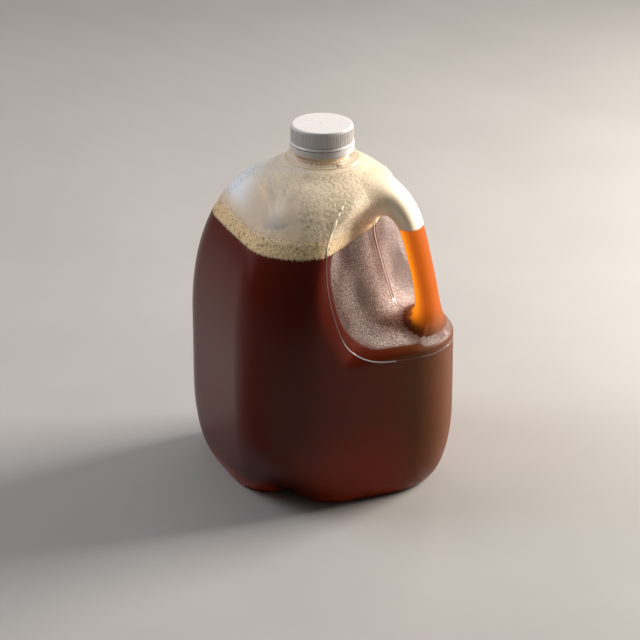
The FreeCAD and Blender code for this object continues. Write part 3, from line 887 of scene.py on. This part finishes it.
def add_foam():
    """The ring of foam: radius and height of each loop from the gap over the top, down and back.

    The top dips a little away from the wall, and once more next to the gap.
    """
    way = np.linspace(0, 2 * np.pi, FOAM_WAYS, endpoint=False)
    low = TEA_LEVEL - 0.9 + 0.8 * waves(way, 11, 40, 5, 160)
    high = TEA_LEVEL + FOAM_DEPTH + 0.7 * waves(way, 5, 10, 3, 40) + 0.35 * waves(way, 6, 40, 40, 170)
    side_share = np.linspace(0, 1, FOAM_SIDE_RINGS)[:, None]
    z_side = high + (low - high) * side_share
    wall = wall_distance(way[None, :], z_side, FOAM_INSET)
    gap = gap_distance(way)
    top_share = np.linspace(0, 1, FOAM_TOP_RINGS + 1)[:-1, None] ** 0.8
    top = gap + (wall[0] - WALL - gap) * top_share
    dip = 1.6 * step(0.0, 0.16, 1 - top_share) + 1.1 * step(0.85, 1.0, 1 - top_share)
    z_top = high - dip - 0.8 * (1 - step(0, 0.1, top_share))
    low_gap = np.full((1, FOAM_WAYS), TEA_LEVEL - 0.4)
    radius = np.vstack([gap[None] * 0.97, top, wall, wall[-1:] - 3, gap[None] * 1.02])
    z = np.vstack([low_gap, z_top, z_side, low_gap - 0.1, low_gap - 0.1])
    x = GAP_MIDDLE[0] + radius * np.cos(way)
    y = GAP_MIDDLE[1] + radius * np.sin(way)
    is_top = np.zeros(z.shape)
    is_top[1:1 + len(z_top)] = 1
    z = z + is_top * (froth(x, y, 21, BUBBLE_SIZE) - 0.4)
    points = np.stack([x, y, z], -1)[::-1]
    faces = ring_faces(len(points), FOAM_WAYS, closed=True)
    return link_mesh("foam_ring", points.reshape(-1, 3), faces)


foam_ring = add_foam()
print("foam faces", len(foam_ring.data.polygons))

# %% [markdown]
# A little froth was left in the neck when the jug was filled: a ragged band that dried on the bore and
# shows through the milky neck. It is a thin ring whose inner face rides on bubbles, as the foam's top
# does. On the flange, two small lugs stop the tamper band from turning with the cap, and the flange's edge
# is a rounded bead. These are solid plastic, so each is a small closed mesh that is pressed a little into
# the neck.

# %% Froth in the neck, the lugs and the flange's edge
LUG_POLAR = -38.0
NECK_SIDES = 360


def add_neck_froth():
    """A thin ring in the bore: its edges wave and its face is bubbled."""
    rings = 26
    share = np.linspace(0, 1, rings)[:, None]
    way = np.linspace(0, 2 * np.pi, NECK_SIDES, endpoint=False)[None, :]
    low = 230.2 + 0.5 * waves(way, 31, 30, 6, 90)
    high = 236.4 + 0.4 * waves(way, 32, 30, 6, 90)
    z = low + (high - low) * share
    bubble = froth((way - np.pi) * BORE_RADIUS + 0 * z, z - 233, 33, 0.9)
    outer = BORE_RADIUS + 0.25 + 0 * z
    inner = BORE_RADIUS - 0.25 - bubble
    radius = np.concatenate([outer, inner[::-1]])
    z = np.concatenate([z, z[::-1]])
    points = np.stack([radius * np.cos(way), radius * np.sin(way), z], -1)
    return link_mesh("neck_froth", points.reshape(-1, 3), ring_faces(2 * rings, NECK_SIDES, closed=True))


def boxy(wave):
    """A sine or cosine to a small power, with its sign kept, which turns a circle into a soft square."""
    return np.sign(wave) * np.abs(wave) ** 0.35


def add_lug(name, polar):
    """A block with eased edges: a superellipsoid, with boxy sines and cosines."""
    tilt = np.linspace(-np.pi / 2, np.pi / 2, 14)[:, None]
    turn = np.linspace(0, 2 * np.pi, 28, endpoint=False)[None, :]
    out = 1.3 * boxy(np.cos(tilt)) * boxy(np.cos(turn)) + 24.0
    side = 2.2 * boxy(np.cos(tilt)) * boxy(np.sin(turn))
    up = 1.2 * boxy(np.sin(tilt)) + 231.2 + 0 * turn
    angle = math.radians(polar)
    x = out * math.cos(angle) - side * math.sin(angle)
    y = out * math.sin(angle) + side * math.cos(angle)
    flat, faces = poled_grid(np.stack([x, y, up], -1))
    return link_mesh(name, flat, faces)


def add_neck_bead():
    """The flange's rounded edge: a ring with a circular section."""
    radius, sides = 0.4, 16
    around = np.linspace(0, 2 * np.pi, sides, endpoint=False)[:, None]
    turn = angles[None, :]
    reach = 25.5 + radius * np.cos(around)
    height = 230.1 + radius * np.sin(around) + 0 * turn
    points = np.stack([reach * np.cos(turn), reach * np.sin(turn), height], -1)
    faces = ring_faces(sides, BODY_SIDES, closed=True)
    return link_mesh("neck_bead", points.reshape(-1, 3), faces)


neck_bead = add_neck_bead()
neck_froth = add_neck_froth()
lugs = [add_lug("lug_front", LUG_POLAR), add_lug("lug_back", LUG_POLAR + 180)]
print("neck froth faces", len(neck_froth.data.polygons), "lugs", [lug.name for lug in lugs])

# %% [markdown]
# Materials are written as sums. A node tree could be built link by link, but a mask of five nodes then
# takes ten lines that nobody can check. Here a small class stands for one socket of a node, and its
# operators add Math nodes, so a mask reads like the formula it is. Every other node comes from one method.

# %% A way to write materials
class Value:
    """One output socket; + - * ** and the reflected forms add Math nodes."""

    def __init__(self, paint, socket):
        self.paint, self.socket = paint, socket

    def maths(self, operation, *others, clamp=False):
        settings = {"operation": operation, "use_clamp": clamp}
        return self.paint.node("ShaderNodeMath", settings, dict(enumerate((self, *others))))

    def __add__(self, other):
        return self.maths("ADD", other)

    __radd__ = __add__

    def __sub__(self, other):
        return self.maths("SUBTRACT", other)

    def __rsub__(self, other):
        return self.maths("MULTIPLY", -1.0) + other

    def __mul__(self, other):
        return self.maths("MULTIPLY", other)

    __rmul__ = __mul__

    def __pow__(self, other):
        return self.maths("POWER", other)

    def clamp(self):
        return self.maths("ADD", 0.0, clamp=True)


class Paint:
    """A material under construction: its tree, its shader and short names for the usual nodes."""

    def __init__(self, name, **constants):
        self.material = bpy.data.materials.new(name)
        self.material.use_nodes = True
        self.tree = self.material.node_tree
        self.shader = self.tree.nodes["Principled BSDF"]
        for key, value in constants.items():
            self.shader.inputs[key.replace("_", " ")].default_value = value

    def node(self, kind, settings=None, inputs=None, output=0):
        """Adds a node: settings first, then values or links of its sockets; gives one output."""
        node = self.tree.nodes.new(kind)
        for key, value in (settings or {}).items():
            setattr(node, key, value)
        for key, value in (inputs or {}).items():
            if isinstance(value, Value):
                self.tree.links.new(value.socket, node.inputs[key])
            else:
                node.inputs[key].default_value = value
        return Value(self, node.outputs[output])

    def place(self):
        """Object coordinates, in metres."""
        return self.node("ShaderNodeTexCoord", output="Object")

    def part(self, vector, axis):
        return self.node("ShaderNodeSeparateXYZ", inputs={0: vector}, output=axis)

    def number(self, name):
        """A number kept on the mesh's points."""
        return self.node("ShaderNodeAttribute", {"attribute_name": name}, output="Fac")

    def noise(self, scale, detail=2.0, roughness=0.5, distortion=0.0):
        inputs = {"Scale": scale, "Detail": detail, "Roughness": roughness, "Distortion": distortion,
                  "Vector": self.place()}
        return self.node("ShaderNodeTexNoise", inputs=inputs)

    def cells(self, scale):
        """Distance to the nearest of many scattered points."""
        inputs = {"Scale": scale, "Randomness": 1.0, "Vector": self.place()}
        return self.node("ShaderNodeTexVoronoi", {"feature": "F1"}, inputs)

    def ramp(self, value, low, high):
        """0 below low, 1 above high, a smooth S between."""
        settings = {"interpolation_type": "SMOOTHSTEP"}
        inputs = {"Value": value, "From Min": low, "From Max": high}
        return self.node("ShaderNodeMapRange", settings, inputs)

    def mix(self, share, a, b):
        """Colours a and b mixed by share."""
        return self.node("ShaderNodeMix", {"data_type": "RGBA"}, {0: share, 6: a, 7: b}, output=2)

    def bump(self, height, strength, distance):
        inputs = {"Height": height, "Strength": strength, "Distance": distance}
        return self.node("ShaderNodeBump", inputs=inputs)

    def set(self, **links):
        """Links values to the shader's sockets and gives the finished material."""
        for key, value in links.items():
            self.tree.links.new(value.socket, self.shader.inputs[key.replace("_", " ")])
        return self.material


def srgb(red, green, blue):
    """A colour on a screen's scale from 0 to 255, as the linear values that shaders use."""
    shares = np.array([red, green, blue]) / 255
    linear = np.where(shares <= 0.04045, shares / 12.92, ((shares + 0.055) / 1.055) ** 2.4)
    return (*linear.tolist(), 1.0)


print("mid grey as a linear value", round(srgb(128, 128, 128)[0], 3))

# %% [markdown]
# The jug's plastic is one milky polyethylene all over. A true volume would be slow and noisy, and the tea
# behind it nearly black. So each zone of the skin gets the colour that light makes of plastic and contents
# together, and a share of transparency that lets the pieces behind it show. A zone is a mask: a smooth
# number from 0 to 1, made of the place in metres and of the numbers kept on the skin.

# %% Zones of the jug
from types import SimpleNamespace


def skin_places(paint):
    """Where a point of the skin is: coordinates, distance from the parting plane, and its kept numbers."""
    place = paint.place()
    x, y, z = (paint.part(place, axis) for axis in range(3))
    arm, grip, cut = (paint.number(name) for name in ("arm", "grip", "cut"))
    return SimpleNamespace(x=x, y=y, z=z, off_plane=y.maths("ABSOLUTE"), arm=arm, grip=grip, cut=cut)


def fill_zones(paint, at):
    """empty: over the tea; beside_foam: by the foam; neck: over the flange; lit_arm: the full handle,
    painted as lit.
    """
    at.empty = paint.ramp(at.z - at.arm * 0.004, 0.1845, 0.1862)     # the handle is filled 4 mm higher
    foam_low, foam_high = paint.ramp(at.z, 0.1835, 0.1850), paint.ramp(at.z, 0.1905, 0.1985)
    at.beside_foam = foam_low * (1 - foam_high) * (1 - at.arm)
    at.neck = paint.ramp(at.z, 0.2290, 0.2296)
    at.lit_arm = at.arm * paint.ramp(at.z, 0.112, 0.140)


def recess_zones(paint, at):
    """recess: inside its line; leather: its stippled part, off the ribs, the root and the ledge's tip."""
    at.tip = paint.ramp(at.x, 0.080, 0.088)
    low = paint.ramp(0.141 - at.z, 0, 0.024) * (1 - at.tip)
    in_line = paint.ramp(at.grip - low * 4.0, 2.5, 4.0 + low * 6.0)
    in_scoop = paint.ramp(at.cut + at.tip * 6.0, 3.0, 6.0)
    at.recess = in_line * in_scoop * (1 - at.arm)
    off_ribs = paint.ramp(at.off_plane, 0.0017, 0.0021)
    from_root = ((at.x - 0.078) ** 2.0 + at.off_plane ** 2.0) ** 0.5
    from_root = from_root - 0.011 * (1 - paint.ramp(at.z, 0.118, 0.132))
    near_root = (1 - paint.ramp(from_root, 0.011, 0.020)) * (1 - at.tip)
    at.leather = at.recess * off_ribs * (1 - 0.6 * at.empty) * (1 - near_root) * (1 - 0.45 * at.tip)


def shoulder_zones(paint, at):
    """facet is the bare flat at the left, peel the wrinkled froth on the rest, specks its darker spots."""
    facet_edge = 0.013 - 14.0 * (at.z - 0.190) ** 2.0 - at.x
    at.facet = paint.ramp(facet_edge, 0.0, 0.0012) * paint.ramp(0.2174 - at.z, 0.0, 0.0012)
    at.facet = at.facet * paint.ramp(at.off_plane + 0.36 * at.x, 0.0, 0.002)
    front = paint.ramp(0.030 - at.y, 0.0, 0.020) * paint.ramp(0.060 - at.x, 0.0, 0.030)
    under_neck = 1 - paint.ramp(at.z, 0.228, 0.2285)
    at.peel = at.empty * front * (1 - at.facet) * (1 - at.arm) * under_neck
    spots = paint.ramp(paint.noise(330.0, 3.0, 0.6), 0.54, 0.62) * (1 - paint.ramp(at.z, 0.204, 0.218))
    at.specks = spots * at.peel * paint.ramp(at.x, -0.014, 0.004) * (1 - paint.ramp(at.x, 0.026, 0.036))
    # cool: where cool light from the left is painted on the shoulder.
    at.cool = paint.ramp(-1.0 * at.x, 0.026, 0.058) * paint.ramp(at.z, 0.196, 0.206)


# %% [markdown]
# Tea is nearly black where it is deep. Where light comes up through the foot it is red, and at the corner
# that the light behind it strikes it is amber; both are painted glow. Drinks come out too red if one brown
# is used for all of it, so five browns are mixed by place. The grip recess is stippled by the mould so that
# it does not slip: grains a millimetre across, with painted light on their tops, painted shade in their
# pits, and painted paler where the light falls flat on it. A fine noise makes both their colour and their
# relief.

# %% Plastic in front of the tea
# The red, warm and amber browns are painted glow of light shining through the tea; the handle's orange is
# the thin tea's own, with painted glow.
TEA_DARK, TEA_OLIVE, TEA_PAINTED_GLOW = srgb(88, 22, 9), srgb(88, 27, 11), srgb(178, 52, 9)
TEA_WARM_PAINTED_LIGHT, TEA_AMBER_PAINTED_LIGHT, ARM_ORANGE_WITH_PAINTED_GLOW = srgb(106, 33, 10), srgb(100, 50, 13), srgb(186, 100, 34)
RECESS_SMOOTH = srgb(146, 118, 108)
# Dim and lit copies of the pits and grains: painted light and shade on the stipple.
PIT_DIM, PIT_LIT = srgb(78, 51, 44), srgb(150, 124, 116)
GRAIN_DIM, GRAIN_LIT = srgb(130, 105, 97), srgb(244, 228, 220)


def deep_tea(paint, at):
    """Browns of the body, mixed by place, with painted glow: red along the foot, warm and then amber towards
    the handle.
    """
    tea = paint.mix(paint.ramp(paint.noise(9.0, 0.0), 0.25, 0.8), TEA_DARK, TEA_OLIVE)
    sides = paint.ramp(-1.0 * at.x, 0.002, 0.012) + paint.ramp(at.x, 0.0, 0.070)
    tea = paint.mix(paint.ramp(0.007 + sides * 0.009 - at.z, 0.0, 0.012), tea, TEA_PAINTED_GLOW)
    tea = paint.mix(paint.ramp(at.x, 0.016, 0.070), tea, TEA_WARM_PAINTED_LIGHT)
    tea = paint.mix(paint.ramp(at.x, 0.058, 0.086), tea, TEA_AMBER_PAINTED_LIGHT)
    # Painted glow, low on the handle's side.
    painted_low_glow = paint.ramp(at.x, 0.0, 0.045) * (1 - paint.ramp(at.x, 0.066, 0.090))
    painted_low_glow = painted_low_glow * paint.ramp(0.070 - at.z, 0.0, 0.050)
    return paint.mix(painted_low_glow * 0.35, tea, TEA_PAINTED_GLOW)


def recess_over(paint, at, tea, grains):
    """The recess over the tea: smooth plastic, then grains, both with painted light, paler in slow patches.
    """
    # Painted light: in slow patches, on the front half of the wall and on the ledge it is paler, at the
    # ledge's tip darker.
    slow = paint.ramp(paint.noise(26.0, 1.0), 0.4, 0.62) * 0.4
    painted_light_front = paint.ramp(-1.0 * at.y, 0.006, 0.014) * (1 - paint.ramp(at.off_plane, 0.028, 0.040))
    painted_light_ledge = paint.ramp(at.x, 0.044, 0.058) * (1 - paint.ramp(at.z, 0.138, 0.152)) * (1 - at.tip)
    lit = (slow + painted_light_front * 0.6 - 0.5 * at.tip + painted_light_ledge * 0.7).clamp()
    pits, tops = paint.mix(lit, PIT_DIM, PIT_LIT), paint.mix(lit, GRAIN_DIM, GRAIN_LIT)
    # The smooth recess is paler than the tea, partly from the plastic's haze, partly as painted light.
    smooth = paint.mix(at.recess * (1 - 0.4 * at.tip), tea, RECESS_SMOOTH)
    return paint.mix(at.leather, smooth, paint.mix(grains, pits, tops))


# %% [markdown]
# The shoulder is empty, so the plastic itself shows there: milky, with painted light that makes it warm
# towards the window behind the handle and cool at the left. Froth that ran down inside has left it
# wrinkled, except on one flat where it stayed bare. These marks are too fine for the mesh and have no
# height of their own, so they are colour and bump, with painted shade in the wrinkles' grooves.

# %% Plastic of the empty shoulder
# The warm and cool milks are painted light, and the darker wrinkle colour is painted shade in the grooves.
MILK, MILK_WARM_PAINTED_LIGHT, MILK_COOL_PAINTED_LIGHT = srgb(230, 222, 206), srgb(250, 232, 203), srgb(236, 246, 252)
WRINKLE_PAINTED_SHADE, SPECK = srgb(170, 152, 120), srgb(112, 108, 80)


def milky_shoulder(paint, at, wrinkle):
    """Milk with painted warm and cool light by place, painted shade in the wrinkles' grooves, darker specks.
    """
    milk = paint.mix(paint.ramp(at.x, -0.02, 0.05), MILK, MILK_WARM_PAINTED_LIGHT)
    milk = paint.mix(at.cool, milk, MILK_COOL_PAINTED_LIGHT)
    # Painted shade in the wrinkles' grooves.
    grooves = at.peel * (1 - paint.ramp(wrinkle, 0.38, 0.56))
    milk = paint.mix(grooves * 0.4, milk, WRINKLE_PAINTED_SHADE)
    return paint.mix(at.specks * 0.6, milk, SPECK)


def plastic_alpha(paint, at):
    """How opaque the skin is: 0.8 over tea, 0.5 where empty, less by the foam, more where it is painted as
    lit.
    """
    alpha = 0.8 - 0.3 * at.empty - 0.55 * (at.lit_arm * (1 - at.empty)) + 0.3 * (at.arm * at.empty)
    alpha = alpha - 0.3 * at.beside_foam - 0.12 * (at.facet * at.empty) - 0.3 * at.neck
    # Painted light: milkier, so paler, next to the handle's upper root and where cool light is painted at
    # the left.
    alpha = alpha + 0.2 * (paint.ramp(at.x, 0.020, 0.045) * at.empty) + 0.35 * (at.cool * at.empty)
    return alpha.clamp()


def jug_plastic():
    """The jug's skin: its zones, then colour, transparency, roughness and relief from them."""
    paint = Paint("milky_plastic", IOR=1.5, Specular_IOR_Level=0.25)
    at = skin_places(paint)
    fill_zones(paint, at)
    recess_zones(paint, at)
    shoulder_zones(paint, at)
    wrinkle = paint.noise(520.0, 2.0, 0.5, 0.6)
    grains = paint.ramp(paint.noise(1050.0, 1.0, 0.5), 0.36, 0.64)
    tea = recess_over(paint, at, deep_tea(paint, at), grains)
    # The handle's thin tea is orange, with painted glow of the light behind it.
    tea = paint.mix(at.lit_arm, tea, ARM_ORANGE_WITH_PAINTED_GLOW)
    color = paint.mix(at.empty, tea, milky_shoulder(paint, at, wrinkle))
    roughness = 0.26 + at.leather * 0.08 + at.arm * 0.1 - 0.14 * at.neck + 0.2 * at.tip
    relief = paint.bump(at.leather * grains + at.peel * wrinkle * 1.2, 0.8, 0.0007)
    return paint.set(Base_Color=color, Alpha=plastic_alpha(paint, at), Roughness=roughness, Normal=relief)


def ridge_plastic():
    """The fine lines: the same plastic, thicker there, so it is milkier than the wall round it."""
    paint = Paint("ridge_plastic", IOR=1.5, Alpha=0.85)
    place = paint.place()
    x, z = paint.part(place, 0), paint.part(place, 2)
    # Painted light: the ribs deep in the recess are paler and bluer than the line in front, against their
    # shade and the handle's orange light.
    color = paint.mix(paint.ramp(x, 0.040, 0.046), srgb(116, 94, 86), srgb(192, 194, 196))
    color = paint.mix(paint.ramp(z, 0.184, 0.190), color, srgb(244, 228, 196))
    return paint.set(Base_Color=color, Roughness=0.2 + 0.1 * paint.noise(200.0))


milky, ridge = jug_plastic(), ridge_plastic()
print("nodes in the jug's plastic and in its ridges", len(milky.node_tree.nodes), len(ridge.node_tree.nodes))

# %% [markdown]
# The tea needs no volume either. In the body it is a dark brown that hardly shows. The handle is thin, and
# the light behind it makes the tea there glow: a little emission stands for that light, brighter on the
# side of the fingers, where the tube's shape gathers it. The foam is matt, beige and full of pits, and the
# cap is plain white plastic with a faint grain, kept a little grey so that its ribs still show in strong
# light.

# %% Tea, foam and cap
def tea_liquid():
    """Brown in the body; orange, and glowing, in the handle."""
    paint = Paint("brewed_tea", Roughness=0.3, IOR=1.34, Specular_IOR_Level=0.0, Emission_Strength=1.6)
    height = paint.part(paint.place(), 2)
    thin = paint.number("handle") * paint.ramp(height, 0.104, 0.134)
    body = paint.mix(paint.ramp(paint.noise(9.0), 0.35, 0.65), srgb(64, 22, 11), srgb(48, 27, 14))
    inner = paint.ramp(paint.number("inner"), -0.3, 0.6)
    # Painted light: the orange, like its glow, is brighter on the side of the fingers.
    orange = paint.mix(inner, srgb(86, 38, 9), srgb(150, 80, 15))
    glow = paint.mix(inner, srgb(168, 76, 18), srgb(255, 142, 26))
    return paint.set(Base_Color=paint.mix(thin, body, orange),
                     Emission_Color=paint.mix(thin, (0, 0, 0, 1), glow))


def foam_froth():
    """Beige bubbles with dark pits between them; paler in the neck, where it dried."""
    paint = Paint("tea_foam", Roughness=0.7, Specular_IOR_Level=0.2)
    cells = paint.cells(760.0)
    pits = paint.ramp(paint.noise(340.0, 3.0, 0.6), 0.56, 0.70)
    in_neck = paint.ramp(paint.part(paint.place(), 2), 0.226, 0.228)
    color = paint.mix(paint.ramp(cells, 0.3, 0.8), srgb(232, 206, 156), srgb(196, 164, 112))
    color = paint.mix(pits, color, srgb(96, 74, 42))
    color = paint.mix(in_neck, color, srgb(250, 226, 196))
    return paint.set(Base_Color=color, Normal=paint.bump(cells, 0.6, 0.0006))


def cap_plastic():
    """White moulded plastic with a faint grain."""
    paint = Paint("white_cap", Roughness=0.35)
    grain = paint.noise(300.0, 3.0)
    color = paint.mix(paint.ramp(grain, 0.3, 0.7), srgb(206, 202, 198), srgb(212, 208, 205))
    return paint.set(Base_Color=color, Normal=paint.bump(grain, 0.04, 0.0002))


brewed, frothy, white = tea_liquid(), foam_froth(), cap_plastic()
print("nodes in the tea, the foam and the cap", [len(m.node_tree.nodes) for m in (brewed, frothy, white)])

# %% [markdown]
# Each piece now gets its finish and hangs from the jug's root. The solids of the jug, the tea and the foam
# are hidden, but they still carry the part's weight and contacts. The cap's solid has its ribs and band
# already, so it only changes its finish.

# %% Finish of each piece
def wear(piece, material):
    """Gives a piece one material in place of what it had."""
    piece.data.materials.clear()
    piece.data.materials.append(material)


for piece in [jug_skin, recess_bead, *parting_lines, neck_bead, *lugs]:
    wear(piece, milky if piece == jug_skin else ridge)
    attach(piece, "root")
    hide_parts("jug")
for piece in [tea_body, tea_handle]:
    wear(piece, brewed)
    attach(piece, "root")
    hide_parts("tea")
for piece in [foam_ring, neck_froth]:
    wear(piece, frothy)
    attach(piece, "root")
    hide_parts("foam")
wear(bpy.data.objects["cap"], white)
print("meshes that wear each finish", {m.name: m.users for m in (milky, ridge, brewed, frothy, white)})

# %% [markdown]
# The floor is a plain pale sheet, large enough to reach past the picture's edges. It is a little glossy,
# so that the jug stands on it and does not float, and it is stage, not part of the object.

# %% Floor
def add_floor():
    """One large face at the height of the jug's foot."""
    half = 3.0
    corners = [(-half, -half, 0), (half, -half, 0), (half, half, 0), (-half, half, 0)]
    mesh = bpy.data.meshes.new("floor")
    mesh.from_pydata(corners, [], [(0, 1, 2, 3)])
    floor = bpy.data.objects.new("floor", mesh)
    bpy.context.scene.collection.objects.link(floor)
    paint = Paint("pale_floor", Roughness=0.38)
    color = paint.mix(paint.ramp(paint.noise(6.0), 0.3, 0.7), srgb(160, 158, 155), srgb(156, 154, 151))
    wear(floor, paint.set(Base_Color=color))
    return floor


print("floor faces", len(add_floor().data.polygons))
